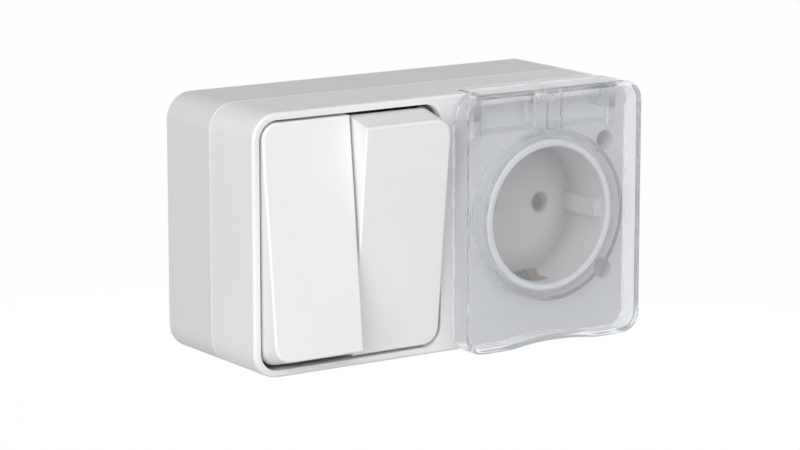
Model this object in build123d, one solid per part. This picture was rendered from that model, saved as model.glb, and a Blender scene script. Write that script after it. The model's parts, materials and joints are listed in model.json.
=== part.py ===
from build123d import *
import os
from math import hypot, radians, sin

# Wall-mounted unit with a two-gang rocker switch on the left and a lidded socket on the right.
# The wall is the plane y = 0 and the front faces -Y; a depth is a distance out from the wall.
# Millimetres and degrees.

# Housing
BODY_W = 126.0
BODY_H = 73.0
FRONT_DEPTH = 46.0
SEAM_DEPTH = 23.5
WALL = 2.0
BACK_T = 2.5
PLATE_T = 2.4
CORNER_R = 7.5
FRONT_EDGE_R = 0.9
SEAM_BEVEL = 0.35
TONGUE_T = 1.0
TONGUE_H = 3.0
SEAL_T = 0.8
WALL_HOLE_SPACING_X = 100.0
WALL_HOLE_SPACING_Z = 57.0
WALL_HOLE_R = 2.2
KNOCKOUT_R = 9.0
KNOCKOUT_GROOVE = 0.8

# Cable entries in the bottom wall
ENTRY_R = 8.0
ENTRY_DEPTH = 12.0
GROMMET_LIP = 1.4
GROMMET_LIP_T = 1.2
GROMMET_SKIN = 0.8
GROMMET_STEP_H = 2.0

# Screws and clearances
SCREW_R = 1.5
SCREW_HEAD_R = 2.6
SCREW_HEAD_H = 2.0
SCREW_SLOT_W = 0.7
SCREW_SLOT_H = 0.9
BOSS_WALL = 1.9
FIT = 0.1
RUN_FIT = 0.05
MOVE_GAP = 0.4

# Cover screws
COVER_SCREW_L = 18.0
COVER_SEAT_T = 2.5
COVER_HEAD_GAP = 0.3
SOCKET_SCREW_DX = 23.0
SOCKET_SCREW_DZ = 18.8
SWITCH_SCREW_INSET = 5.0
SWITCH_SEAT_DROP = 2.7

# Rockers
ROCKER_GAP = 0.8
ROCKER_SIDE_GAP = 0.9
ROCKER_PIVOT_DEPTH = 36.8
ROCKER_FACE = 12.7
ROCKER_END_GAP = 0.6
ROCKER_FLARE = 1.4
ROCKER_SKIRT = 9.2
ROCKER_TILT = 6.1
ROCKER_T = 1.8
ROCKER_CORNER_R = 4.8
ROCKER_EDGE_R = 0.7

# Switch insert
INSERT_SEAT = 10.0
INSERT_SCREW_L = 20.0
INSERT_SCREW_SEAT = 26.5
INSERT_END_GAP = 3.1
SWITCH_FLOOR_T = 3.0
SWITCH_BASE_T = 14.0
SWITCH_BASE_EDGE = 1.2
CHAMBER_W = 14.0
CHAMBER_WALL = 1.1
SWITCH_SCREW_Z = 9.0
AXLE_R = 1.5
POST_T = 2.8
POST_R = 3.2
POST_GAP = 0.4
CARRIER_W = 16.0
CARRIER_H = 15.0
CARRIER_FRONT = 4.5
CARRIER_BACK = 2.5
PLUNGER_R = 2.0
PLUNGER_NOSE = 0.9
PLUNGER_TUBE_WALL = 1.25
PLUNGER_TUBE_L = 6.0
PLUNGER_BORE_START = 1.5
PLUNGER_SEAT = 4.5
COIL_STEPS = 12
SPRING_WIRE_R = 0.25
SPRING_TURNS = 3
BRIDGE_PIVOT_DEPTH = 19.9
BRIDGE_W = 4.0
BRIDGE_END_GAP = 2.0
BRIDGE_T = 1.2
BRIDGE_RATIO = 1.2
CONTACT_R = 1.5
CONTACT_T = 1.0
CONTACT_GAP = 0.3
STRIP_T = 0.8
STRIP_W = 5.0
CAGE_W = 7.0
CAGE_L = 5.4
CAGE_H = 6.0
CAGE_GAP = 0.3

# Socket
COLLAR_PROUD = 5.5
WELL_R = 19.6
WELL_DEPTH = 17.8
WELL_WALL = 2.2
WELL_FLOOR_T = 2.5
WELL_FOOT = 1.8
WELL_FOOT_T = 2.0
LIP_INNER_BEVEL = 0.5
LIP_OUTER_BEVEL = 0.6
GUIDE_W = 5.4
GUIDE_H = 2.4
GUIDE_DROP = 2.6
PIN_SPACING = 19.0
PIN_HOLE_R = 2.9
PIN_LEAD_IN = 0.5
SOCKET_BASE_W = 37.0
SOCKET_BASE_H = 44.0
SOCKET_BASE_R = 4.0
SOCKET_FLOOR_T = 4.0
CLIP_GRIP = 4.4
CLIP_W = 7.0
CLIP_TOP_GAP = 3.2
SOCKET_TERMINAL_DX = 13.5
SOCKET_TERMINAL_DZ = 16.5
EARTH_W = 6.0
EARTH_TIP_W = 3.6
EARTH_SLOT_W = 11.0
EARTH_ARM_R = 20.5
EARTH_ARM_TOP = 6.6
EARTH_TOUCH_R = 17.3
EARTH_TOUCH_DROP = 3.0
EARTH_TAIL_DROP = 8.0
EARTH_SLOT_TOP = 5.0

# Lid and its hinge
LID_W = 61.0
LID_SHIFT = 0.6
LID_DEPTH = 7.8
LID_T = 1.6
LID_GAP = 0.3
LID_CORNER_R = 6.0
LID_EDGE_R = 1.2
LID_TOP_OVERHANG = 0.2
LID_BOTTOM_OVERHANG = 0.6
DENT_W = 29.0
DENT_H = 1.2
DENT_BLEND_R = 20.0
LID_RING_R = 24.4
LID_RING_T = 1.3
LID_RING_GAP = 0.6
HINGE_SETBACK = 4.0
BARREL_R = 4.2
FLAP_W = 49.2
CHEEK_T = 2.4
CHEEK_PROUD = 2.0
CHEEK_DROP = 9.2
POCKET_DROP = 8.3
POCKET_WALL = 1.6
HINGE_PIN_R = 1.2
LID_SPRING_R = 2.0
LID_SPRING_WIRE_R = 0.3
LID_SPRING_TURNS = 3.25
LID_SPRING_PITCH = 0.75
LID_SPRING_LEG = 8.0
SPRING_RIB_GAP = 3.6
SPRING_RIB_T = 1.2
SPRING_BAR_W = 1.6

# Derived places
SWITCH_X = -BODY_W / 4
SOCKET_X = BODY_W / 4
TOP = BODY_H / 2
INNER_H = BODY_H / 2 - WALL
TONGUE_INSET = WALL - TONGUE_T
OPENING_W = BODY_W / 2 - 2 * WALL
ROCKER_W = (OPENING_W - 2 * ROCKER_SIDE_GAP - ROCKER_GAP) / 2
GANG_X = {
    "left": SWITCH_X - (ROCKER_W + ROCKER_GAP) / 2,
    "right": SWITCH_X + (ROCKER_W + ROCKER_GAP) / 2,
}
OUTER_SIDE = {"left": -1, "right": 1}
REST_TILT = {"left": -ROCKER_TILT, "right": ROCKER_TILT}
ROCKER_SKIRT_L = 2 * (INNER_H - ROCKER_END_GAP)
ROCKER_FACE_L = ROCKER_SKIRT_L - 2 * ROCKER_FLARE

LIP_DEPTH = FRONT_DEPTH + COLLAR_PROUD
WELL_FLOOR = LIP_DEPTH - WELL_DEPTH
WELL_BOTTOM = WELL_FLOOR - WELL_FLOOR_T
WELL_OUTER_R = WELL_R + WELL_WALL
WELL_FOOT_R = WELL_OUTER_R + WELL_FOOT
PIN_X = [SOCKET_X - PIN_SPACING / 2, SOCKET_X + PIN_SPACING / 2]
CLIP_FLOOR = INSERT_SEAT + SOCKET_FLOOR_T
EARTH_BED = WELL_BOTTOM - SCREW_HEAD_H - STRIP_T - FIT

SWITCH_SCREW_TOP = INNER_H - SWITCH_SCREW_INSET
SWITCH_SEAT_DEPTH = ROCKER_PIVOT_DEPTH - SWITCH_SEAT_DROP
SOCKET_SEAT_DEPTH = WELL_BOTTOM + MOVE_GAP + COVER_SEAT_T
COVER_SCREWS = [
    (SWITCH_X, SWITCH_SCREW_TOP, SWITCH_SEAT_DEPTH),
    (SWITCH_X, -SWITCH_SCREW_TOP, SWITCH_SEAT_DEPTH),
    (SOCKET_X + SOCKET_SCREW_DX, SOCKET_SCREW_DZ, SOCKET_SEAT_DEPTH),
    (SOCKET_X + SOCKET_SCREW_DX, -SOCKET_SCREW_DZ, SOCKET_SEAT_DEPTH),
]
INSERT_SCREWS = [
    (SWITCH_X, SWITCH_SCREW_Z),
    (SWITCH_X, -SWITCH_SCREW_Z),
    (SOCKET_X - SOCKET_TERMINAL_DX, SOCKET_TERMINAL_DZ),
    (SOCKET_X + SOCKET_TERMINAL_DX, SOCKET_TERMINAL_DZ),
]
BOSS_R = SCREW_R + BOSS_WALL
SCREW_PASS_R = SCREW_R + 2 * FIT
HEAD_PASS_R = SCREW_HEAD_R + COVER_HEAD_GAP

SWITCH_FLOOR = INSERT_SEAT + SWITCH_FLOOR_T
SWITCH_BASE_TOP = INSERT_SEAT + SWITCH_BASE_T
STRIP_TOP = SWITCH_FLOOR + STRIP_T
CAGE_TOP = SWITCH_FLOOR + CAGE_H
TERMINAL_SCREW_L = CAGE_H - STRIP_T - FIT
POST_X = CARRIER_W / 2 + POST_GAP
SWITCH_BASE_W = GANG_X["right"] - GANG_X["left"] + 2 * (POST_X + POST_T)
SWITCH_BASE_H = 2 * (SWITCH_SCREW_TOP - BOSS_R - INSERT_END_GAP)
BAY_Z = SWITCH_BASE_H / 2 - SWITCH_BASE_EDGE - CAGE_L - CAGE_GAP
CHAMBER_H = 2 * (BAY_Z - CHAMBER_WALL)
BRIDGE_L = CHAMBER_H - 2 * BRIDGE_END_GAP
CONTACT_Z = BRIDGE_L / 2 - CONTACT_R
OUT_CAGE_Z = -(SWITCH_BASE_H / 2 - SWITCH_BASE_EDGE - CAGE_L / 2)
TERMINAL_WALL_Z = SWITCH_BASE_H / 2 - SWITCH_BASE_EDGE + CAGE_GAP
PLUNGER_BORE_R = PLUNGER_R + RUN_FIT
PLUNGER_TIP = BRIDGE_PIVOT_DEPTH + BRIDGE_T + MOVE_GAP

HINGE_DEPTH = FRONT_DEPTH - HINGE_SETBACK
LID_X = SOCKET_X + LID_SHIFT
LID_TOP = TOP + LID_TOP_OVERHANG
LID_BOTTOM = -TOP - LID_BOTTOM_OVERHANG
HINGE_Z = LID_TOP - BARREL_R
LID_BACK = FRONT_DEPTH + LID_GAP
LID_FRONT = FRONT_DEPTH + LID_DEPTH
LID_INSIDE = LID_FRONT - LID_T
POCKET_W = FLAP_W + 2 * MOVE_GAP
POCKET_BACK = HINGE_DEPTH - BARREL_R - MOVE_GAP
POCKET_FLOOR_Z = HINGE_Z - POCKET_DROP


def prism(sketch, near, far):
    """Solid of a front-view sketch (x, z) between two depths."""
    return extrude(Plane.XZ.offset(near) * sketch, amount=far - near)


def block(x0, x1, z0, z1, near, far):
    """Box between two corners in the front view and two depths."""
    return prism(Pos((x0 + x1) / 2, (z0 + z1) / 2) * Rectangle(x1 - x0, z1 - z0), near, far)


def cylinder(x, z, radius, near, far):
    """Cylinder square to the wall."""
    return prism(Pos(x, z) * Circle(radius), near, far)


def side_prism(sketch, x0, x1):
    """Solid of a side-view sketch (y, z) between two x positions."""
    return extrude(Plane.YZ.offset(x0) * sketch, amount=x1 - x0)


def body_outline(inset):
    """Rounded front outline of the housing, moved in by inset."""
    return RectangleRounded(BODY_W - 2 * inset, BODY_H - 2 * inset, CORNER_R - inset)


def front_edges(part):
    """Edges of the foremost flat face's outer loop."""
    return part.faces().sort_by(Axis.Y)[0].outer_wire().edges()


def screw(x, z, seat, length):
    """Slotted screw whose head rests on a seat at the given depth."""
    shank = cylinder(x, z, SCREW_R, seat - length, seat)
    head = cylinder(x, z, SCREW_HEAD_R, seat, seat + SCREW_HEAD_H)
    slot_bottom = seat + SCREW_HEAD_H - SCREW_SLOT_H
    slot = block(
        x - SCREW_HEAD_R, x + SCREW_HEAD_R, z - SCREW_SLOT_W / 2, z + SCREW_SLOT_W / 2,
        slot_bottom, seat + SCREW_HEAD_H,
    )
    return shank + head - slot


def back_box():
    """Rear half of the housing, with a tongue round its rim."""
    box = prism(body_outline(0), 0, SEAM_DEPTH)
    box = chamfer(front_edges(box), SEAM_BEVEL)
    tongue = body_outline(TONGUE_INSET) - body_outline(WALL)
    box += prism(tongue, SEAM_DEPTH - TONGUE_H, SEAM_DEPTH + TONGUE_H)
    box -= prism(body_outline(WALL), BACK_T, SEAM_DEPTH + TONGUE_H)
    for x, z, seat in COVER_SCREWS:
        box += cylinder(x, z, BOSS_R, BACK_T, seat - COVER_SEAT_T)
        hole_bottom = seat - COVER_SCREW_L - FIT
        box -= cylinder(x, z, SCREW_R + RUN_FIT, hole_bottom, seat)
    for x, z in INSERT_SCREWS:
        box += cylinder(x, z, BOSS_R, BACK_T, INSERT_SEAT)
        hole_bottom = INSERT_SCREW_SEAT - INSERT_SCREW_L - FIT
        box -= cylinder(x, z, SCREW_R + RUN_FIT, hole_bottom, INSERT_SEAT)
    for hole in GridLocations(WALL_HOLE_SPACING_X, WALL_HOLE_SPACING_Z, 2, 2):
        box -= cylinder(hole.position.X, hole.position.Y, WALL_HOLE_R, 0, BACK_T)
    groove = Circle(KNOCKOUT_R) - Circle(KNOCKOUT_R - KNOCKOUT_GROOVE)
    box -= prism(groove, 0, KNOCKOUT_GROOVE)
    for x in (SWITCH_X, SOCKET_X):
        entry = Pos(x, -ENTRY_DEPTH) * Circle(ENTRY_R)
        box -= extrude(Plane.XY.offset(-TOP) * entry, amount=WALL)
    return box


def housing_seal():
    """Flat gasket between the box's tongue and the cover."""
    ring = body_outline(TONGUE_INSET) - body_outline(WALL)
    return prism(ring, SEAM_DEPTH + TONGUE_H, SEAM_DEPTH + TONGUE_H + SEAL_T)


def cable_grommets():
    """Two rubber entry grommets gripping the bottom wall, with a blind step to pierce."""
    neck = ENTRY_R - FIT
    lip = ENTRY_R + GROMMET_LIP
    bore = ENTRY_R - GROMMET_LIP
    outside = -GROMMET_LIP_T
    inside = WALL + GROMMET_LIP_T
    tip = outside - GROMMET_STEP_H
    step = bore / 2
    profile = Polyline(
        (0, tip), (step, tip), (step, outside), (lip, outside), (lip, 0), (neck, 0), (neck, WALL),
        (lip, WALL), (lip, inside), (bore, inside), (bore, outside + GROMMET_SKIN),
        (step - GROMMET_SKIN, outside + GROMMET_SKIN), (step - GROMMET_SKIN, tip + GROMMET_SKIN),
        (0, tip + GROMMET_SKIN), close=True,
    )
    grommet = revolve(Plane.XZ * make_face(profile), Axis.Z)
    return [Pos(x, -ENTRY_DEPTH, -TOP) * grommet for x in (SWITCH_X, SOCKET_X)]


def front_cover():
    """Front half of the housing: rocker frame, socket plate and the lid's hinge pocket."""
    envelope = prism(body_outline(0), SEAM_DEPTH, FRONT_DEPTH)
    envelope = fillet(front_edges(envelope), FRONT_EDGE_R)
    envelope = chamfer(envelope.faces().sort_by(Axis.Y)[-1].edges(), SEAM_BEVEL)
    cover = envelope - prism(body_outline(WALL), SEAM_DEPTH, FRONT_DEPTH - PLATE_T)
    rebate = body_outline(TONGUE_INSET - FIT)
    cover -= prism(rebate, SEAM_DEPTH, SEAM_DEPTH + TONGUE_H + SEAL_T)
    cover += block(-WALL, 0, -INNER_H, INNER_H, SWITCH_SEAT_DEPTH, FRONT_DEPTH - PLATE_T)

    # Socket side: skirt that clamps the recess, and the hinge pocket at the top edge
    cover += cylinder(SOCKET_X, 0, WELL_FOOT_R, WELL_BOTTOM + WELL_FOOT_T, FRONT_DEPTH - PLATE_T)
    half = POCKET_W / 2
    pocket_box = block(
        LID_X - half - POCKET_WALL, LID_X + half + POCKET_WALL,
        POCKET_FLOOR_Z - POCKET_WALL, INNER_H, POCKET_BACK - POCKET_WALL, FRONT_DEPTH - PLATE_T,
    )
    cover += pocket_box
    cover -= cylinder(SOCKET_X, 0, WELL_OUTER_R + FIT, SEAM_DEPTH, FRONT_DEPTH)
    cover -= block(LID_X - half, LID_X + half, POCKET_FLOOR_Z, LID_TOP, POCKET_BACK, FRONT_DEPTH)
    pin_hole = Pos(-HINGE_DEPTH, HINGE_Z) * Circle(HINGE_PIN_R + RUN_FIT / 2)
    cover -= side_prism(pin_hole, LID_X - half - POCKET_WALL, LID_X + half + POCKET_WALL)

    # Switch side: one opening for both rockers
    opening = Pos(SWITCH_X, 0) * RectangleRounded(OPENING_W, 2 * INNER_H, CORNER_R - WALL)
    cover -= prism(opening, FRONT_DEPTH - PLATE_T, FRONT_DEPTH)

    # Screw seats: lugs under the rockers, sleeves beside the socket
    lug_r = HEAD_PASS_R + POCKET_WALL
    for x, z, seat in COVER_SCREWS:
        seat_back = seat - COVER_SEAT_T
        if x < 0:
            wall_z = INNER_H if z > 0 else -INNER_H
            cover += cylinder(x, z, lug_r, seat_back, seat)
            cover += block(x - lug_r, x + lug_r, min(z, wall_z), max(z, wall_z), seat_back, seat)
        else:
            cover += cylinder(x, z, lug_r, seat_back, FRONT_DEPTH - PLATE_T)
        cover -= cylinder(x, z, SCREW_PASS_R, seat_back, seat)
        cover -= cylinder(x, z, HEAD_PASS_R, seat, FRONT_DEPTH)
    return cover


def socket_well():
    """Collar and round recess with guide ribs, earth slots and pin holes."""
    well = cylinder(SOCKET_X, 0, WELL_OUTER_R, WELL_BOTTOM, LIP_DEPTH)
    well = chamfer(front_edges(well), LIP_OUTER_BEVEL)
    well += cylinder(SOCKET_X, 0, WELL_FOOT_R, WELL_BOTTOM, WELL_BOTTOM + WELL_FOOT_T)
    recess = cylinder(SOCKET_X, 0, WELL_R, WELL_FLOOR, LIP_DEPTH)
    well -= recess
    well = chamfer(well.faces().sort_by(Axis.Y)[0].inner_wires()[0].edges(), LIP_INNER_BEVEL)
    guide = Pos(SOCKET_X, 0) * Rectangle(2 * (WELL_R + WELL_WALL / 2), GUIDE_W)
    guide -= Pos(SOCKET_X, 0) * Rectangle(2 * (WELL_R - GUIDE_H), GUIDE_W)
    well += prism(guide, WELL_FLOOR, LIP_DEPTH - GUIDE_DROP)
    slot_reach = WELL_FOOT_R + FIT
    slot_start = EARTH_ARM_R - STRIP_T - MOVE_GAP
    for side in (-1, 1):
        slot_z = side * (slot_start + slot_reach) / 2
        slot = Pos(SOCKET_X, slot_z) * Rectangle(EARTH_SLOT_W, slot_reach - slot_start)
        well -= prism(slot, WELL_BOTTOM, LIP_DEPTH - EARTH_SLOT_TOP)
    for x in PIN_X:
        well -= cylinder(x, 0, PIN_HOLE_R, WELL_BOTTOM, WELL_FLOOR)
    floor_rims = [
        edge
        for edge in well.edges().filter_by(GeomType.CIRCLE)
        if abs(edge.radius - PIN_HOLE_R) < RUN_FIT and abs(edge.center().Y + WELL_FLOOR) < RUN_FIT
    ]
    return chamfer(floor_rims, PIN_LEAD_IN)


def terminal_cage(x, z, width, length, near, far):
    """Metal block that a terminal screw goes down into."""
    cage = block(x - width / 2, x + width / 2, z - length / 2, z + length / 2, near, far)
    return cage - cylinder(x, z, SCREW_R + RUN_FIT, near, far)


def socket_base():
    """Insulating carrier behind the recess, with a pocket for each contact."""
    outline = Pos(SOCKET_X, 0) * RectangleRounded(SOCKET_BASE_W, SOCKET_BASE_H, SOCKET_BASE_R)
    base = prism(outline, INSERT_SEAT, WELL_BOTTOM)
    clip_half = CLIP_GRIP / 2 + STRIP_T + CAGE_GAP
    cage_half = CAGE_W / 2 + CAGE_GAP
    for side, pin_x in zip((-1, 1), PIN_X):
        terminal_x = SOCKET_X + side * SOCKET_TERMINAL_DX
        tab_half = STRIP_W / 2 + CAGE_GAP
        clip_z = CLIP_W / 2 + CAGE_GAP
        pocket = Pos(pin_x, 0) * Rectangle(2 * clip_half, 2 * clip_z)
        tab = Rectangle(2 * tab_half, SOCKET_TERMINAL_DZ)
        pocket += Pos(terminal_x, -SOCKET_TERMINAL_DZ / 2) * tab
        pocket += Pos(terminal_x, -SOCKET_TERMINAL_DZ) * Rectangle(2 * cage_half, 2 * cage_half)
        base -= prism(pocket, CLIP_FLOOR, WELL_BOTTOM)
    trench = Pos(SOCKET_X, 0) * Rectangle(EARTH_W + 2 * CAGE_GAP, SOCKET_BASE_H)
    base -= prism(trench, EARTH_BED, WELL_BOTTOM)
    nut = Pos(SOCKET_X, 0) * Rectangle(EARTH_W + 2 * CAGE_GAP, CAGE_W + 2 * CAGE_GAP)
    base -= prism(nut, EARTH_BED - CAGE_H, EARTH_BED)
    for x, z in INSERT_SCREWS[2:]:
        base -= cylinder(x, z, SCREW_PASS_R, INSERT_SEAT, INSERT_SCREW_SEAT)
        base -= cylinder(x, z, HEAD_PASS_R, INSERT_SCREW_SEAT, WELL_BOTTOM)
    return base


def pin_contacts():
    """Two sprung brass clips with their terminal cages."""
    contacts = []
    clip_top = WELL_BOTTOM - CLIP_TOP_GAP
    outer = CLIP_GRIP / 2 + STRIP_T
    for side, pin_x in zip((-1, 1), PIN_X):
        terminal_x = SOCKET_X + side * SOCKET_TERMINAL_DX
        clip = block(pin_x - outer, pin_x + outer, -CLIP_W / 2, CLIP_W / 2, CLIP_FLOOR, clip_top)
        tab_x = (terminal_x - STRIP_W / 2, terminal_x + STRIP_W / 2)
        clip += block(*tab_x, -SOCKET_TERMINAL_DZ, 0, CLIP_FLOOR, CLIP_FLOOR + STRIP_T)
        clip -= block(
            pin_x - CLIP_GRIP / 2, pin_x + CLIP_GRIP / 2, -CLIP_W / 2, CLIP_W / 2,
            CLIP_FLOOR + STRIP_T, clip_top,
        )
        cage_top = CLIP_FLOOR + CAGE_H
        clip += terminal_cage(terminal_x, -SOCKET_TERMINAL_DZ, CAGE_W, CAGE_W, CLIP_FLOOR, cage_top)
        contacts.append(clip)
    return contacts


def earth_bar():
    """Earth strap lying behind the recess, folded forward into a sprung clip at each end."""
    bed = EARTH_BED + STRIP_T / 2
    arm_top = LIP_DEPTH - EARTH_ARM_TOP
    touch = arm_top - EARTH_TOUCH_DROP
    tail = arm_top - EARTH_TAIL_DROP
    tail_r = (EARTH_ARM_R + EARTH_TOUCH_R) / 2
    half = [
        (-bed, 0), (-bed, EARTH_ARM_R), (-arm_top, EARTH_ARM_R), (-touch, EARTH_TOUCH_R),
        (-tail, tail_r),
    ]
    section = Sketch()
    for sign in (-1, 1):
        points = [(y, sign * z) for y, z in half]
        for start, end in zip(points, points[1:]):
            section += trace(Line(start, end), STRIP_T)
        for point in points[1:]:
            section += Pos(*point) * Circle(STRIP_T / 2)
    bar = side_prism(section, SOCKET_X - EARTH_W / 2, SOCKET_X + EARTH_W / 2)
    tip = Pos(SOCKET_X, 0) * Rectangle(EARTH_TIP_W, 2 * WELL_FOOT_R)
    strap = Pos(SOCKET_X, 0) * Rectangle(EARTH_W, 2 * WELL_FOOT_R)
    bar -= prism(strap - tip, WELL_FLOOR, LIP_DEPTH)
    bar += block(
        SOCKET_X - EARTH_W / 2, SOCKET_X + EARTH_W / 2, -CAGE_W / 2, CAGE_W / 2,
        EARTH_BED - CAGE_H, EARTH_BED + STRIP_T / 2,
    )
    return bar - cylinder(SOCKET_X, 0, SCREW_R + RUN_FIT, EARTH_BED - CAGE_H, WELL_BOTTOM)


def socket_terminal_screws():
    """Line, neutral and earth screws."""
    screws = []
    for side in (-1, 1):
        x = SOCKET_X + side * SOCKET_TERMINAL_DX
        screws.append(screw(x, -SOCKET_TERMINAL_DZ, CLIP_FLOOR + CAGE_H, TERMINAL_SCREW_L))
    screws.append(screw(SOCKET_X, 0, EARTH_BED + STRIP_T, TERMINAL_SCREW_L))
    return screws


def switch_base():
    """Insulating base with a contact chamber and terminal bays for each gang."""
    base = block(
        SWITCH_X - SWITCH_BASE_W / 2, SWITCH_X + SWITCH_BASE_W / 2,
        -SWITCH_BASE_H / 2, SWITCH_BASE_H / 2, INSERT_SEAT, SWITCH_BASE_TOP,
    )
    bay_half = CAGE_W / 2 + CAGE_GAP
    for x in GANG_X.values():
        chamber = Pos(x, 0) * Rectangle(CHAMBER_W, CHAMBER_H)
        base -= prism(chamber, SWITCH_FLOOR, SWITCH_BASE_TOP)
        base -= block(
            x - bay_half, x + bay_half, -TERMINAL_WALL_Z, -CHAMBER_H / 2, SWITCH_FLOOR, SWITCH_BASE_TOP
        )
        base -= block(
            x - bay_half, x + bay_half, CHAMBER_H / 2, BAY_Z, SWITCH_FLOOR, SWITCH_BASE_TOP
        )
    base -= block(
        GANG_X["left"] - bay_half, GANG_X["right"] + bay_half, BAY_Z, TERMINAL_WALL_Z,
        SWITCH_FLOOR, SWITCH_BASE_TOP,
    )
    for x, z in INSERT_SCREWS[:2]:
        base -= cylinder(x, z, SCREW_PASS_R, INSERT_SEAT, SWITCH_BASE_TOP)
    return base


def switch_frame():
    """Plate over the base with the bearing posts of both rockers."""
    half_w = SWITCH_BASE_W / 2
    frame = block(
        SWITCH_X - half_w, SWITCH_X + half_w, -SWITCH_BASE_H / 2, SWITCH_BASE_H / 2,
        SWITCH_BASE_TOP, INSERT_SCREW_SEAT,
    )
    pivot = Pos(-ROCKER_PIVOT_DEPTH, 0)
    post = pivot * Circle(POST_R)
    post_l = ROCKER_PIVOT_DEPTH - SWITCH_BASE_TOP
    post += Pos(-ROCKER_PIVOT_DEPTH + post_l / 2, 0) * Rectangle(post_l, 2 * POST_R)
    post -= pivot * Circle(AXLE_R + RUN_FIT)
    window_z = CARRIER_H / 2 + MOVE_GAP
    for x in GANG_X.values():
        for side in (-1, 1):
            near = x + side * POST_X
            far = x + side * (POST_X + POST_T)
            frame += side_prism(post, min(near, far), max(near, far))
        frame -= block(
            x - CHAMBER_W / 2, x + CHAMBER_W / 2, -window_z, window_z, SWITCH_BASE_TOP, INSERT_SCREW_SEAT
        )
        frame -= cylinder(x, OUT_CAGE_Z, HEAD_PASS_R, SWITCH_BASE_TOP, INSERT_SCREW_SEAT)
    frame -= cylinder(SWITCH_X, -OUT_CAGE_Z, HEAD_PASS_R, SWITCH_BASE_TOP, INSERT_SCREW_SEAT)
    for x, z in INSERT_SCREWS[:2]:
        frame -= cylinder(x, z, SCREW_PASS_R, SWITCH_BASE_TOP, INSERT_SCREW_SEAT)
    return frame


def switch_feed_terminal():
    """Common feed strip with a knife-edge upstand under each moving contact."""
    bar_z = (-OUT_CAGE_Z - CAGE_L / 2, -OUT_CAGE_Z + CAGE_L / 2)
    half = STRIP_W / 2
    feed = block(
        GANG_X["left"] - half, GANG_X["right"] + half, *bar_z, SWITCH_FLOOR, STRIP_TOP
    )
    knife_top = BRIDGE_PIVOT_DEPTH - CONTACT_GAP
    knife = Polyline(
        (-STRIP_TOP + STRIP_T, -BRIDGE_T), (-knife_top, 0), (-STRIP_TOP + STRIP_T, BRIDGE_T), close=True
    )
    for x in GANG_X.values():
        feed += block(x - half, x + half, -BRIDGE_T, bar_z[0], SWITCH_FLOOR, STRIP_TOP)
        feed += side_prism(make_face(knife), x - half, x + half)
    return feed + terminal_cage(SWITCH_X, -OUT_CAGE_Z, CAGE_W, CAGE_L, SWITCH_FLOOR, CAGE_TOP)


def switch_out_terminals():
    """Switched outlets: a fixed contact and a terminal cage for each gang."""
    closed_drop = (CONTACT_Z + CONTACT_R) * sin(radians(ROCKER_TILT * BRIDGE_RATIO))
    face = BRIDGE_PIVOT_DEPTH - CONTACT_T - closed_drop - CONTACT_GAP
    terminals = []
    half = STRIP_W / 2
    for x in GANG_X.values():
        strip_z = (OUT_CAGE_Z - CAGE_L / 2, -CONTACT_Z + CONTACT_R + CONTACT_GAP)
        outlet = block(x - half, x + half, *strip_z, SWITCH_FLOOR, STRIP_TOP)
        anvil_z = (-CONTACT_Z - CONTACT_R - CONTACT_GAP, -CONTACT_Z + CONTACT_R + CONTACT_GAP)
        outlet += block(x - half, x + half, *anvil_z, SWITCH_FLOOR, face - CONTACT_T / 2)
        outlet += cylinder(x, -CONTACT_Z, CONTACT_R, SWITCH_FLOOR, face)
        outlet += terminal_cage(x, OUT_CAGE_Z, CAGE_W, CAGE_L, SWITCH_FLOOR, CAGE_TOP)
        terminals.append(outlet)
    return terminals


def switch_terminal_screws():
    """One feed screw and two outlet screws."""
    places = [(SWITCH_X, -OUT_CAGE_Z)] + [(x, OUT_CAGE_Z) for x in GANG_X.values()]
    return [screw(x, z, CAGE_TOP, TERMINAL_SCREW_L) for x, z in places]


def tilted(part, gang):
    """Turn a rocker piece from its middle position to the rest position of its gang."""
    return part.rotate(Axis((0, -ROCKER_PIVOT_DEPTH, 0), (1, 0, 0)), REST_TILT[gang])


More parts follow.
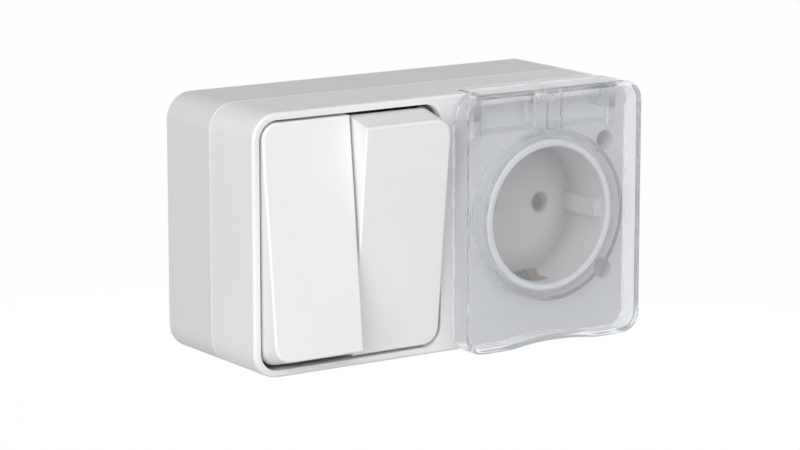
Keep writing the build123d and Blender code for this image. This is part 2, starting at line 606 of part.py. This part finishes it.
def rocker(gang):
    """Hollow rocker cap, rounded at its outer corners, with two clip legs for the carrier."""
    x = GANG_X[gang]
    face = ROCKER_PIVOT_DEPTH + ROCKER_FACE
    rim = face - ROCKER_SKIRT
    inner_face = face - ROCKER_T
    half = ROCKER_W / 2
    outer = Polyline(
        (-face, ROCKER_FACE_L / 2), (-rim, ROCKER_SKIRT_L / 2), (-rim, -ROCKER_SKIRT_L / 2),
        (-face, -ROCKER_FACE_L / 2), close=True,
    )
    cap = side_prism(make_face(outer), x - half, x + half)
    corner_edges = [
        edge
        for edge in cap.edges()
        if abs(edge.center().X - x - OUTER_SIDE[gang] * half) < FIT
        and abs(edge.center().Z) > ROCKER_FACE_L / 2 - FIT
    ]
    cap = fillet(corner_edges, ROCKER_CORNER_R)
    cap = fillet(front_edges(cap), ROCKER_EDGE_R)
    hollow = Polyline(
        (-inner_face, ROCKER_FACE_L / 2 - ROCKER_T), (-rim, ROCKER_SKIRT_L / 2 - ROCKER_T),
        (-rim, ROCKER_T - ROCKER_SKIRT_L / 2), (-inner_face, ROCKER_T - ROCKER_FACE_L / 2), close=True,
    )
    inside = side_prism(make_face(hollow), x - half + ROCKER_T, x + half - ROCKER_T)
    inner_corner_edges = [
        edge
        for edge in inside.edges()
        if abs(edge.center().X - x - OUTER_SIDE[gang] * (half - ROCKER_T)) < FIT
        and abs(edge.center().Z) > ROCKER_FACE_L / 2 - ROCKER_T - FIT
    ]
    cap -= fillet(inner_corner_edges, ROCKER_CORNER_R - ROCKER_T)

    # Pad and clip legs that hold the carrier
    carrier_front = ROCKER_PIVOT_DEPTH + CARRIER_FRONT + FIT
    carrier_back = ROCKER_PIVOT_DEPTH - CARRIER_BACK - FIT
    leg_z = CARRIER_H / 2 + FIT
    cap += block(x - STRIP_W, x + STRIP_W, -ROCKER_T, ROCKER_T, carrier_front, inner_face)
    for side in (-1, 1):
        leg = Polyline(
            (-inner_face, side * leg_z), (-carrier_back, side * leg_z),
            (-carrier_back, side * (leg_z - STRIP_T)),
            (-carrier_back + ROCKER_T, side * (leg_z + STRIP_T)),
            (-carrier_back + ROCKER_T, side * (leg_z + ROCKER_T)),
            (-inner_face, side * (leg_z + ROCKER_T)),
            close=True,
        )
        cap += side_prism(make_face(leg), x - STRIP_W / 2, x + STRIP_W / 2)
    return tilted(cap, gang)


def carrier(gang):
    """Pivoting carrier with stub axles and the tube of the spring plunger."""
    x = GANG_X[gang]
    half = CARRIER_W / 2
    back = ROCKER_PIVOT_DEPTH - CARRIER_BACK
    body = block(
        x - half, x + half, -CARRIER_H / 2, CARRIER_H / 2, back, ROCKER_PIVOT_DEPTH + CARRIER_FRONT
    )
    stub = Pos(-ROCKER_PIVOT_DEPTH, 0) * Circle(AXLE_R)
    reach = half + POST_GAP + POST_T - FIT
    body += side_prism(stub, x - reach, x + reach)
    tube_r = PLUNGER_BORE_R + PLUNGER_TUBE_WALL
    body += cylinder(x, 0, tube_r, back - PLUNGER_TUBE_L, back)
    bore_end = ROCKER_PIVOT_DEPTH + PLUNGER_BORE_START
    body -= cylinder(x, 0, PLUNGER_BORE_R, back - PLUNGER_TUBE_L, bore_end)
    return tilted(body, gang)


def plunger(gang):
    """Blunt-nosed plunger that tips the moving contact over."""
    seat = ROCKER_PIVOT_DEPTH - PLUNGER_SEAT
    body = cylinder(GANG_X[gang], 0, PLUNGER_R, PLUNGER_TIP, seat)
    tip_edges = body.faces().sort_by(Axis.Y)[-1].edges()
    return tilted(chamfer(tip_edges, PLUNGER_NOSE), gang)


def coil(radius, wire_r, pitch, turns):
    """Square-wire coil along +Z that starts on +X, bent in equal steps."""
    steps = round(turns * COIL_STEPS)
    points = []
    for step in range(steps + 1):
        turn = step / COIL_STEPS
        points.append(Vector(radius, 0, pitch * turn).rotate(Axis.Z, 360 * turn))
    path = Polyline(*points)
    section = Plane(path @ 0, z_dir=path % 0) * Rectangle(2 * wire_r, 2 * wire_r)
    return sweep(section, path, transition=Transition.RIGHT)


def plunger_spring(gang):
    """Compression spring in the carrier's tube, behind the plunger."""
    space = PLUNGER_SEAT + PLUNGER_BORE_START
    radius = PLUNGER_R - 2 * SPRING_WIRE_R
    wound = space - 2 * SPRING_WIRE_R - FIT
    spring = coil(radius, SPRING_WIRE_R, wound / SPRING_TURNS, SPRING_TURNS)
    start = ROCKER_PIVOT_DEPTH - PLUNGER_SEAT + SPRING_WIRE_R + FIT / 2
    placed = Plane((GANG_X[gang], -start, 0), x_dir=(1, 0, 0), z_dir=(0, -1, 0)) * spring
    return tilted(placed, gang)


def bridge(gang):
    """Rocking contact strip with a contact button at its lower end."""
    x = GANG_X[gang]
    back = BRIDGE_PIVOT_DEPTH
    strip = block(
        x - BRIDGE_W / 2, x + BRIDGE_W / 2, -BRIDGE_L / 2, BRIDGE_L / 2, back, back + BRIDGE_T
    )
    strip += cylinder(x, -CONTACT_Z, CONTACT_R, back - CONTACT_T, back)
    tilt = -REST_TILT[gang] * BRIDGE_RATIO
    return strip.rotate(Axis((0, -BRIDGE_PIVOT_DEPTH, 0), (1, 0, 0)), tilt)


def lid_outline(inset):
    """Front outline of the lid with the finger dent in its bottom edge."""
    height = LID_TOP - LID_BOTTOM
    dent_r = (DENT_W ** 2 / 4 + DENT_H ** 2) / (2 * DENT_H)
    middle = (LID_TOP + LID_BOTTOM) / 2
    outline = RectangleRounded(LID_W - 2 * inset, height - 2 * inset, LID_CORNER_R - inset)
    outline -= Pos(0, LID_BOTTOM + DENT_H - dent_r - middle) * Circle(dent_r + inset)
    dent_ends = [
        vertex
        for vertex in outline.vertices()
        if abs(vertex.X) < LID_W / 2 - LID_CORNER_R - FIT and vertex.Y < 0
    ]
    return Pos(LID_X, middle) * fillet(dent_ends, DENT_BLEND_R)


def lid():
    """Clear tray-shaped lid with a sealing ring and a hinge flap at its top."""
    tray = prism(lid_outline(0), LID_BACK, LID_FRONT)
    tray = fillet(front_edges(tray), LID_EDGE_R)
    tray -= prism(lid_outline(LID_T), LID_BACK, LID_INSIDE)

    # The tray's rim is scooped round the hinge so that it clears the cover's top edge
    sweep_r = hypot(HINGE_SETBACK, TOP - HINGE_Z) + MOVE_GAP
    axis_place = Pos(-HINGE_DEPTH, HINGE_Z)
    tray -= side_prism(axis_place * Circle(sweep_r), LID_X - LID_W / 2, LID_X + LID_W / 2)

    ring = Pos(LID_X, 0) * (Circle(LID_RING_R) - Circle(LID_RING_R - LID_RING_T))
    tray += prism(ring, FRONT_DEPTH + LID_RING_GAP, LID_INSIDE)

    # Flap, hood and cheeks that reach back into the hinge pocket
    reach = LID_INSIDE - HINGE_DEPTH
    hood = Circle(BARREL_R) - Circle(BARREL_R - LID_T)
    hood -= Pos(-BARREL_R, 0) * Rectangle(2 * BARREL_R, 2 * BARREL_R)
    hood -= Pos(BARREL_R / 2, -BARREL_R) * Rectangle(BARREL_R, 2 * BARREL_R)
    flap = hood + Pos(-reach / 2, BARREL_R - LID_T / 2) * Rectangle(reach, LID_T)
    half = FLAP_W / 2
    tray += side_prism(axis_place * flap, LID_X - half, LID_X + half)
    rib_inner = SPRING_RIB_GAP / 2
    tray -= block(
        LID_X - rib_inner, LID_X + rib_inner, HINGE_Z - BARREL_R, LID_TOP,
        HINGE_DEPTH - BARREL_R, HINGE_DEPTH,
    )
    tab_back = -HINGE_SETBACK - LID_RING_GAP
    tab_front = -HINGE_SETBACK - CHEEK_PROUD
    cheek = Polyline(
        (0, BARREL_R), (tab_front, BARREL_R), (tab_front, -CHEEK_DROP), (tab_back, -CHEEK_DROP),
        (tab_back, -BARREL_R), (0, -BARREL_R), close=True,
    )
    cheek = make_face(cheek) + Circle(BARREL_R) - Circle(HINGE_PIN_R + RUN_FIT)
    for side in (-1, 1):
        far = LID_X + side * half
        near = far - side * CHEEK_T
        tray += side_prism(axis_place * cheek, min(near, far), max(near, far))

    # Ribs and cross bar that the spring's leg pulls on
    bar_top = HINGE_Z + LID_SPRING_R - LID_SPRING_WIRE_R - FIT
    bar_mid = (FRONT_DEPTH + LID_INSIDE) / 2
    for side in (-1, 1):
        near = LID_X + side * rib_inner
        far = near + side * SPRING_RIB_T
        tray += block(
            min(near, far), max(near, far), LID_RING_R - LID_RING_T, LID_TOP - LID_T,
            FRONT_DEPTH + LID_RING_GAP, LID_INSIDE,
        )
    tray += block(
        LID_X - rib_inner, LID_X + rib_inner, bar_top - SPRING_BAR_W, bar_top,
        bar_mid - SPRING_BAR_W / 2, bar_mid + SPRING_BAR_W / 2,
    )
    return tray


def hinge_pin():
    """Steel pin across the hinge pocket."""
    reach = POCKET_W / 2 + POCKET_WALL
    section = Pos(-HINGE_DEPTH, HINGE_Z) * Circle(HINGE_PIN_R)
    return side_prism(section, LID_X - reach, LID_X + reach)


def lid_spring():
    """Torsion spring on the hinge pin: one leg over the lid's bar, one down the pocket's back."""
    coil_l = LID_SPRING_PITCH * LID_SPRING_TURNS
    start_x = LID_X + coil_l / 2
    frame = Plane((start_x, -HINGE_DEPTH, HINGE_Z), x_dir=(0, 0, 1), z_dir=(-1, 0, 0))
    spring = frame * coil(LID_SPRING_R, LID_SPRING_WIRE_R, LID_SPRING_PITCH, LID_SPRING_TURNS)
    wire = 2 * LID_SPRING_WIRE_R
    end_x = start_x - coil_l
    lid_leg = Box(wire, LID_SPRING_LEG, wire, align=(Align.CENTER, Align.MAX, Align.CENTER))
    spring += Pos(start_x, -HINGE_DEPTH, HINGE_Z + LID_SPRING_R) * lid_leg
    floor_leg_l = POCKET_DROP - RUN_FIT
    floor_leg = Box(wire, wire, floor_leg_l, align=(Align.CENTER, Align.CENTER, Align.MAX))
    spring += Pos(end_x, -HINGE_DEPTH + LID_SPRING_R, HINGE_Z) * floor_leg
    return spring


def cover_screws():
    """Four equal screws through the cover into the box's tall bosses."""
    return [screw(x, z, seat, COVER_SCREW_L) for x, z, seat in COVER_SCREWS]


def insert_screws():
    """Four equal screws that hold the two inserts on the box's low bosses."""
    return [screw(x, z, INSERT_SCREW_SEAT, INSERT_SCREW_L) for x, z in INSERT_SCREWS]


parts = {
    "back_box": back_box(),
    "front_cover": front_cover(),
    "housing_seal": housing_seal(),
    "cable_grommets": cable_grommets(),
    "cover_screws": cover_screws(),
    "insert_screws": insert_screws(),
    "switch_base": switch_base(),
    "switch_frame": switch_frame(),
    "switch_feed_terminal": switch_feed_terminal(),
    "switch_out_terminals": switch_out_terminals(),
    "switch_terminal_screws": switch_terminal_screws(),
    "socket_well": socket_well(),
    "socket_base": socket_base(),
    "pin_contacts": pin_contacts(),
    "earth_bar": earth_bar(),
    "socket_terminal_screws": socket_terminal_screws(),
    "hinge_pin": hinge_pin(),
    "lid_spring": lid_spring(),
    "lid": lid(),
}
for gang in GANG_X:
    parts[gang + "_rocker"] = rocker(gang)
    parts[gang + "_carrier"] = carrier(gang)
    parts[gang + "_plunger"] = plunger(gang)
    parts[gang + "_spring"] = plunger_spring(gang)
    parts[gang + "_bridge"] = bridge(gang)

os.makedirs("parts", exist_ok=True)
for name, shape in parts.items():
    solids = shape if isinstance(shape, list) else [shape]
    export_step(Compound(children=[Part() + solid for solid in solids]), f"parts/{name}.step")
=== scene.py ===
import json
from math import cos, pi, radians, sin

import bpy
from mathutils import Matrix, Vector


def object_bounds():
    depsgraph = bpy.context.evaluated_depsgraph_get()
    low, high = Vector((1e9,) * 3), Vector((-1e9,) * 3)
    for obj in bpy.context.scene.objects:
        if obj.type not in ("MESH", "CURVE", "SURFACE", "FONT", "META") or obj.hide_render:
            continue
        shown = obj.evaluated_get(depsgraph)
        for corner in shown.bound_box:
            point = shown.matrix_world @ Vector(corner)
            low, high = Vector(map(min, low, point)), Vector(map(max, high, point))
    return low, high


# Two-gang switch and lidded socket in one white housing, on a plain white ground.
# Metres. The wall is the plane y = 0, the front faces -Y and +Z is up.

# Camera, fitted to the housing's edges in the photograph
VIEW_AZIMUTH = radians(-33.75)
VIEW_ELEVATION = radians(11.2)
VIEW_DISTANCE = 0.932
VIEW_TARGET = Vector((-0.0050, -0.030, -0.0023))
SENSOR_WIDTH = 36.0
LENS = 148.6

# White tent round the object, brightest in one direction
AMBIENT = 0.03
TENT_LEVEL = 1.95
TENT_FOCUS = 3.0
TENT_AZIMUTH = radians(-16)
TENT_ELEVATION = radians(31)

# Lamps: a soft key at the left, and a low fill behind that stays out of sight
LAMP_DISTANCE = 1.2
KEY_LEVEL = 0.47
KEY_SIZE = 0.9
KEY_AZIMUTH = radians(-65)
KEY_ELEVATION = radians(14)
FILL_LEVEL = 0.60
FILL_SIZE = 0.9
FILL_AZIMUTH = radians(135)
FILL_ELEVATION = radians(1)

# Floor, far enough below for its shadow to stay soft
FLOOR_DROP = 0.25
FLOOR_SIZE = 12.0
FLOOR_ALBEDO = 0.6
FLOOR_ROUGHNESS = 0.9
FLOOR_GLOW = 0.985

# Diffuse depth between a ray that nothing has scattered, 0, and one scattered once, 1
FIRST_SCATTER = 0.5

# Socket recess: its axis, bore and floor, how far past the bore the painted light of the lip
# begins, and how far and how much painted shade darkens its corner
RECESS_X = 0.0315
RECESS_R = 0.0196
RECESS_FLOOR_Y = -0.0337
RECESS_FADE = 0.0008
RECESS_UNEVEN = RECESS_FADE / 5
CORNER_SHADE_REACH = 0.008
CORNER_PAINTED_SHADE = 0.68

# Noises: scale per metre and detail
FLOW_MARKS = (38, 3)
UNEVEN_GLOSS = (300, 4)
FINE_GRAIN = (5200, 2)
RUBBER_CLOUDS = (160, 4)
RUBBER_GLOSS = (700, 3)
RUBBER_GRAIN = (2600, 3)
DRAWN_LINES = (900, 4)
LID_CLOUDS = (60, 2)
LID_GLOSS = (220, 3)
LID_WAVES = (90, 1)

# Bumps: strength and depth, or depth alone where the strength is the look's own
GRAIN_DEPTH = 0.00004
RUBBER_BUMP = (0.25, 0.00005)
LINES_BUMP = (0.12, 0.00003)
WAVES_BUMP = (0.01, 0.0001)

# Middle range of a noise, in which one tone turns into the other
BLEND_START = 0.3
BLEND_END = 0.7

# Finish of the plastics, rubber and metals
FLOW_TONES = (0.985, 1.012)
GLOSS_SWING = 0.05
PLASTIC_IOR = 1.5
PLASTIC_SPECULAR = 0.25
RUBBER_DARK = 0.85
RUBBER_ROUGHNESS = (0.62, 0.8)
LINE_DARK = 0.88
LINE_GLOSS_SWING = 0.08

# Finish of the clear lid, and what it lets through of the lamps' light
LID_TRANSMISSION = 0.88
LID_IOR = 1.3
LID_COAT = 0.15
LID_COAT_ROUGHNESS = 0.04
LID_DARK = 0.985
LID_GLOSS_RANGE = (0.7, 1.3)
LID_PASSES = (0.81, 0.82, 0.83)

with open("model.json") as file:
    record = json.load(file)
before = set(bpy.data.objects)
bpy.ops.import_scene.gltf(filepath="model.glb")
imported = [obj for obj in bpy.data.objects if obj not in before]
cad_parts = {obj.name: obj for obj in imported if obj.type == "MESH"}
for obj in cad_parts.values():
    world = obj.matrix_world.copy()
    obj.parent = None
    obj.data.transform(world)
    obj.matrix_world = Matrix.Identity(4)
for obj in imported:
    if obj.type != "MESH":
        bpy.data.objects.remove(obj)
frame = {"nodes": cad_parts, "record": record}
nodes = frame["nodes"]
cad_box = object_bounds()


def direction(azimuth, elevation):
    """Unit vector from the object towards a viewer or lamp."""
    return Vector((
        sin(azimuth) * cos(elevation),
        -cos(azimuth) * cos(elevation),
        sin(elevation),
    ))


def label(key):
    """Socket label of a keyword: coat_weight is Coat Weight."""
    return key.replace("_", " ").title().replace("Ior", "IOR")


def scaled(tone, factor):
    """Tone made lighter or darker, full white at most."""
    return tuple(min(1.0, channel * factor) for channel in tone)


def maths(tree, operation, first, second):
    """Math node of two sockets, or of a socket and a number."""
    node = tree.nodes.new("ShaderNodeMath")
    node.operation = operation
    tree.links.new(first, node.inputs[0])
    if isinstance(second, float):
        node.inputs[1].default_value = second
    else:
        tree.links.new(second, node.inputs[1])
    return node.outputs[0]


class Shader:
    """A material's node tree, with short calls to add and join nodes."""

    def __init__(self, name):
        self.material = bpy.data.materials.new(name)
        self.material.use_nodes = True
        self.tree = self.material.node_tree
        self.surface = self.tree.nodes["Principled BSDF"]
        self.output = self.tree.nodes["Material Output"]
        self.place = self.add("ShaderNodeTexCoord").outputs["Object"]

    def add(self, kind, **values):
        """New node, with its properties or unlinked inputs set by name."""
        node = self.tree.nodes.new(kind)
        for key, value in values.items():
            if hasattr(node, key):
                setattr(node, key, value)
            else:
                node.inputs[label(key)].default_value = value
        return node

    def join(self, source, target):
        self.tree.links.new(source, target)

    def set(self, **values):
        """Constant inputs of the surface shader."""
        for key, value in values.items():
            self.surface.inputs[label(key)].default_value = value

    def noise(self, scale, detail, stretch=(1, 1, 1)):
        """Noise in object space, as a value between 0 and 1."""
        mapping = self.add("ShaderNodeMapping", scale=stretch)
        self.join(self.place, mapping.inputs["Vector"])
        noise = self.add("ShaderNodeTexNoise", scale=scale, detail=detail)
        self.join(mapping.outputs["Vector"], noise.inputs["Vector"])
        return noise.outputs["Fac"]

    def blend(self, fac, first, second):
        """Colour that goes from first to second as fac rises through its middle range."""
        ramp = self.add("ShaderNodeValToRGB")
        start, end = ramp.color_ramp.elements
        start.position, start.color = BLEND_START, (*first, 1)
        end.position, end.color = BLEND_END, (*second, 1)
        self.join(fac, ramp.inputs["Fac"])
        return ramp.outputs["Color"]

    def paint(self, colour):
        self.join(colour, self.surface.inputs["Base Color"])

    def rise(self, value, start, end):
        """0 up to start, 1 from end on, and a smooth step between."""
        step = self.add(
            "ShaderNodeMapRange", interpolation_type="SMOOTHSTEP", from_min=start, from_max=end
        )
        self.join(value, step.inputs["Value"])
        return step.outputs["Result"]

    def spread(self, fac, low, high):
        """Value that goes from low to high as fac goes from 0 to 1."""
        spread = self.add("ShaderNodeMapRange", to_min=low, to_max=high)
        self.join(fac, spread.inputs["Value"])
        return spread.outputs["Result"]

    def roughen(self, fac, low, high):
        self.join(self.spread(fac, low, high), self.surface.inputs["Roughness"])

    def bump(self, height, strength, depth):
        bump = self.add("ShaderNodeBump", strength=strength, distance=depth)
        self.join(height, bump.inputs["Height"])
        self.join(bump.outputs["Normal"], self.surface.inputs["Normal"])


def satin(shader, gloss, grain):
    """Uneven gloss and fine grain of a moulded surface."""
    shader.roughen(shader.noise(*UNEVEN_GLOSS), gloss - GLOSS_SWING, gloss + GLOSS_SWING)
    shader.bump(shader.noise(*FINE_GRAIN), grain, GRAIN_DEPTH)
    shader.set(ior=PLASTIC_IOR, specular_ior_level=PLASTIC_SPECULAR)


def moulded(name, tone, gloss, grain):
    """White moulded plastic: faint flow marks in the tone, a fine grain and uneven gloss."""
    shader = Shader(name)
    darker, lighter = (scaled(tone, factor) for factor in FLOW_TONES)
    shader.paint(shader.blend(shader.noise(*FLOW_MARKS), darker, lighter))
    satin(shader, gloss, grain)
    return shader.material


def recess(name, painted_light_lip_tone, painted_shade_tone, gloss, grain):
    """The socket's moulding, with painted light round the lip and painted shade in the recess,
    darkest in its corner.
    """
    shader = Shader(name)
    split = shader.add("ShaderNodeSeparateXYZ")
    shader.join(shader.place, split.inputs["Vector"])
    offset = shader.add("ShaderNodeVectorMath", operation="MULTIPLY_ADD")
    offset.inputs[1].default_value = (1, 0, 1)
    offset.inputs[2].default_value = (-RECESS_X, 0, 0)
    shader.join(shader.place, offset.inputs[0])
    reach = shader.add("ShaderNodeVectorMath", operation="LENGTH")
    shader.join(offset.outputs["Vector"], reach.inputs[0])
    radius = reach.outputs["Value"]

    uneven = maths(shader.tree, "MULTIPLY", shader.noise(*FLOW_MARKS), RECESS_UNEVEN)
    edge = maths(shader.tree, "ADD", radius, uneven)
    past_bore = shader.rise(edge, RECESS_R, RECESS_R + RECESS_FADE)
    # Painted shade inside the bore, painted light on the lip
    tone = shader.blend(past_bore, painted_shade_tone, painted_light_lip_tone)

    # Painted shade, darkest where the recess wall meets its floor
    shade_near_wall = shader.rise(radius, RECESS_R - CORNER_SHADE_REACH, RECESS_R)
    shade_near_floor = shader.rise(split.outputs["Y"], RECESS_FLOOR_Y - CORNER_SHADE_REACH, RECESS_FLOOR_Y)
    corner = maths(shader.tree, "MULTIPLY", shade_near_wall, shade_near_floor)
    painted_shade = shader.add("ShaderNodeVectorMath", operation="SCALE")
    shader.join(tone, painted_shade.inputs[0])
    shader.join(shader.spread(corner, 1.0, CORNER_PAINTED_SHADE), painted_shade.inputs["Scale"])
    shader.paint(painted_shade.outputs["Vector"])
    satin(shader, gloss, grain)
    return shader.material


def rubber(name, tone):
    """Dull rubber with cloudy tone and a coarse grain."""
    shader = Shader(name)
    shader.paint(shader.blend(shader.noise(*RUBBER_CLOUDS), scaled(tone, RUBBER_DARK), tone))
    shader.roughen(shader.noise(*RUBBER_GLOSS), *RUBBER_ROUGHNESS)
    shader.bump(shader.noise(*RUBBER_GRAIN), *RUBBER_BUMP)
    return shader.material


def metal(name, tone, gloss, stretch):
    """Drawn or stamped metal with fine lines across the axes that stretch makes finer."""
    shader = Shader(name)
    shader.set(metallic=1.0)
    lines = shader.noise(*DRAWN_LINES, stretch)
    shader.paint(shader.blend(lines, scaled(tone, LINE_DARK), tone))
    shader.roughen(lines, gloss - LINE_GLOSS_SWING, gloss + LINE_GLOSS_SWING)
    shader.bump(lines, *LINES_BUMP)
    return shader.material


def clear_plastic(name, tone, gloss):
    """Clear moulding that lets lamp light through to what lies behind it."""
    shader = Shader(name)
    shader.set(
        transmission_weight=LID_TRANSMISSION,
        ior=LID_IOR,
        coat_weight=LID_COAT,
        coat_roughness=LID_COAT_ROUGHNESS,
    )
    shader.paint(shader.blend(shader.noise(*LID_CLOUDS), scaled(tone, LID_DARK), tone))
    shader.roughen(shader.noise(*LID_GLOSS), *(gloss * share for share in LID_GLOSS_RANGE))
    shader.bump(shader.noise(*LID_WAVES), *WAVES_BUMP)
    passing = shader.add("ShaderNodeBsdfTransparent")
    passing.inputs["Color"].default_value = (*LID_PASSES, 1)
    rays = shader.add("ShaderNodeLightPath").outputs
    mix = shader.add("ShaderNodeMixShader")
    lit = maths(shader.tree, "MAXIMUM", rays["Is Shadow Ray"], rays["Is Diffuse Ray"])
    shader.join(lit, mix.inputs[0])
    shader.join(shader.surface.outputs["BSDF"], mix.inputs[1])
    shader.join(passing.outputs["BSDF"], mix.inputs[2])
    shader.join(mix.outputs["Shader"], shader.output.inputs["Surface"])
    return shader.material


# Looks by the record's material slot, and those of nodes that differ from their slot
SLOT_LOOKS = {
    "housing_white": moulded("housing_white", tone=(0.84, 0.845, 0.85), gloss=0.50, grain=0.10),
    "rocker_white": moulded("rocker_white", tone=(0.87, 0.87, 0.875), gloss=0.42, grain=0.05),
    # Socket moulding: painted light on the lip, painted shade down the recess and in its corner
    "socket_white": recess(
        "socket_white",
        painted_light_lip_tone=(0.95, 0.955, 0.96),
        painted_shade_tone=(0.68, 0.68, 0.675),
        gloss=0.48,
        grain=0.08,
    ),
    "insert_plastic": moulded("insert_plastic", tone=(0.70, 0.69, 0.66), gloss=0.5, grain=0.12),
    "rubber": rubber("grey_rubber", tone=(0.55, 0.56, 0.56)),
    # Brass hue made far darker than brass: painted shade for the earth clip deep in its slot
    "brass": metal("brass", tone=(0.22, 0.14, 0.09), gloss=0.45, stretch=(1, 1, 8)),
    "steel": metal("steel", tone=(0.60, 0.60, 0.61), gloss=0.3, stretch=(6, 1, 1)),
    "clear_lid": clear_plastic("clear_lid", tone=(0.94, 0.95, 0.965), gloss=0.14),
}
# Back box: a darker copy of the housing white, painted shade for its top and sides
shaded_rear_white = moulded("shaded_rear_white", tone=(0.75, 0.755, 0.76), gloss=0.52, grain=0.12)
# Hinge pin and spring: a lighter copy of the steel, painted light so they read pale through the
# lid
hinge_steel_painted_light = metal("hinge_steel_painted_light", tone=(0.86, 0.86, 0.865), gloss=0.35, stretch=(1, 6, 6))
NODE_LOOKS = {"back_box": shaded_rear_white, "hinge_pin": hinge_steel_painted_light, "lid_spring": hinge_steel_painted_light}

for part in frame["record"]["subparts"]:
    mesh = nodes[part["node"]].data
    mesh.materials.clear()
    mesh.materials.append(NODE_LOOKS.get(part["node"], SLOT_LOOKS[part["material_slot"]]))


def aimed(name, data, azimuth, elevation, distance):
    """Camera or lamp at a direction and distance from the view's target, turned to it."""
    way = direction(azimuth, elevation)
    item = bpy.data.objects.new(name, data)
    item.location = VIEW_TARGET + way * distance
    item.rotation_mode = "QUATERNION"
    item.rotation_quaternion = (-way).to_track_quat("-Z", "Y")
    bpy.context.scene.collection.objects.link(item)
    return item


def lamp(name, azimuth, elevation, level, size):
    """Round soft lamp that lights a face turned to it at about the given level."""
    data = bpy.data.lights.new(name, "AREA")
    data.shape = "DISK"
    data.size = size
    data.energy = level * pi ** 2 * LAMP_DISTANCE ** 2
    return aimed(name, data, azimuth, elevation, LAMP_DISTANCE)


def seen_rays(tree):
    """1 for the rays that show the ground: from the camera, off gloss or through clear plastic."""
    path = tree.nodes.new("ShaderNodeLightPath")
    seen = maths(tree, "MAXIMUM", path.outputs["Is Camera Ray"], path.outputs["Is Glossy Ray"])
    seen = maths(tree, "MAXIMUM", seen, path.outputs["Is Transmission Ray"])
    unscattered = maths(tree, "LESS_THAN", path.outputs["Diffuse Depth"], FIRST_SCATTER)
    return maths(tree, "MULTIPLY", seen, unscattered)


def white_tent():
    """World that is brightest in the tent's direction, and seen as plain white."""
    world = bpy.data.worlds.new("studio")
    world.use_nodes = True
    tree = world.node_tree
    background = tree.nodes["Background"]
    background.inputs["Color"].default_value = (1, 1, 1, 1)
    facing = tree.nodes.new("ShaderNodeVectorMath")
    facing.operation = "DOT_PRODUCT"
    facing.inputs[1].default_value = direction(TENT_AZIMUTH, TENT_ELEVATION)
    tree.links.new(tree.nodes.new("ShaderNodeTexCoord").outputs["Generated"], facing.inputs[0])
    lobe = maths(tree, "POWER", maths(tree, "MAXIMUM", facing.outputs["Value"], 0.0), TENT_FOCUS)
    tent = maths(tree, "ADD", maths(tree, "MULTIPLY", lobe, TENT_LEVEL), AMBIENT)
    tree.links.new(maths(tree, "MAXIMUM", tent, seen_rays(tree)), background.inputs["Strength"])
    return world


def pale_floor_look():
    """Pale paint, seen as almost plain white."""
    material = bpy.data.materials.new("floor")
    material.use_nodes = True
    tree = material.node_tree
    paint = tree.nodes["Principled BSDF"]
    paint.inputs["Base Color"].default_value = (FLOOR_ALBEDO, FLOOR_ALBEDO, FLOOR_ALBEDO, 1)
    paint.inputs["Roughness"].default_value = FLOOR_ROUGHNESS
    glow = tree.nodes.new("ShaderNodeEmission")
    share = tree.nodes.new("ShaderNodeMapRange")
    share.inputs["To Max"].default_value = FLOOR_GLOW
    mix = tree.nodes.new("ShaderNodeMixShader")
    tree.links.new(seen_rays(tree), share.inputs["Value"])
    tree.links.new(share.outputs["Result"], mix.inputs[0])
    tree.links.new(paint.outputs["BSDF"], mix.inputs[1])
    tree.links.new(glow.outputs["Emission"], mix.inputs[2])
    tree.links.new(mix.outputs["Shader"], tree.nodes["Material Output"].inputs["Surface"])
    return material


camera_data = bpy.data.cameras.new("camera")
camera_data.sensor_width = SENSOR_WIDTH
camera_data.lens = LENS
camera = aimed("camera", camera_data, VIEW_AZIMUTH, VIEW_ELEVATION, VIEW_DISTANCE)
bpy.context.scene.camera = camera

lamp("key", KEY_AZIMUTH, KEY_ELEVATION, KEY_LEVEL, KEY_SIZE)
fill = lamp("fill", FILL_AZIMUTH, FILL_ELEVATION, FILL_LEVEL, FILL_SIZE)
fill.visible_camera = False
fill.visible_glossy = False
fill.visible_transmission = False

bpy.context.scene.world = white_tent()

half = FLOOR_SIZE / 2
floor_z = cad_box[0].z - FLOOR_DROP
floor_mesh = bpy.data.meshes.new("floor")
floor_mesh.from_pydata(
    [(x, y, floor_z) for x, y in ((-half, -half), (half, -half), (half, half), (-half, half))],
    [],
    [(0, 1, 2, 3)],
)
floor_mesh.materials.append(pale_floor_look())
floor = bpy.data.objects.new("floor", floor_mesh)
bpy.context.scene.collection.objects.link(floor)

bpy.context.scene.view_settings.view_transform = "Standard"
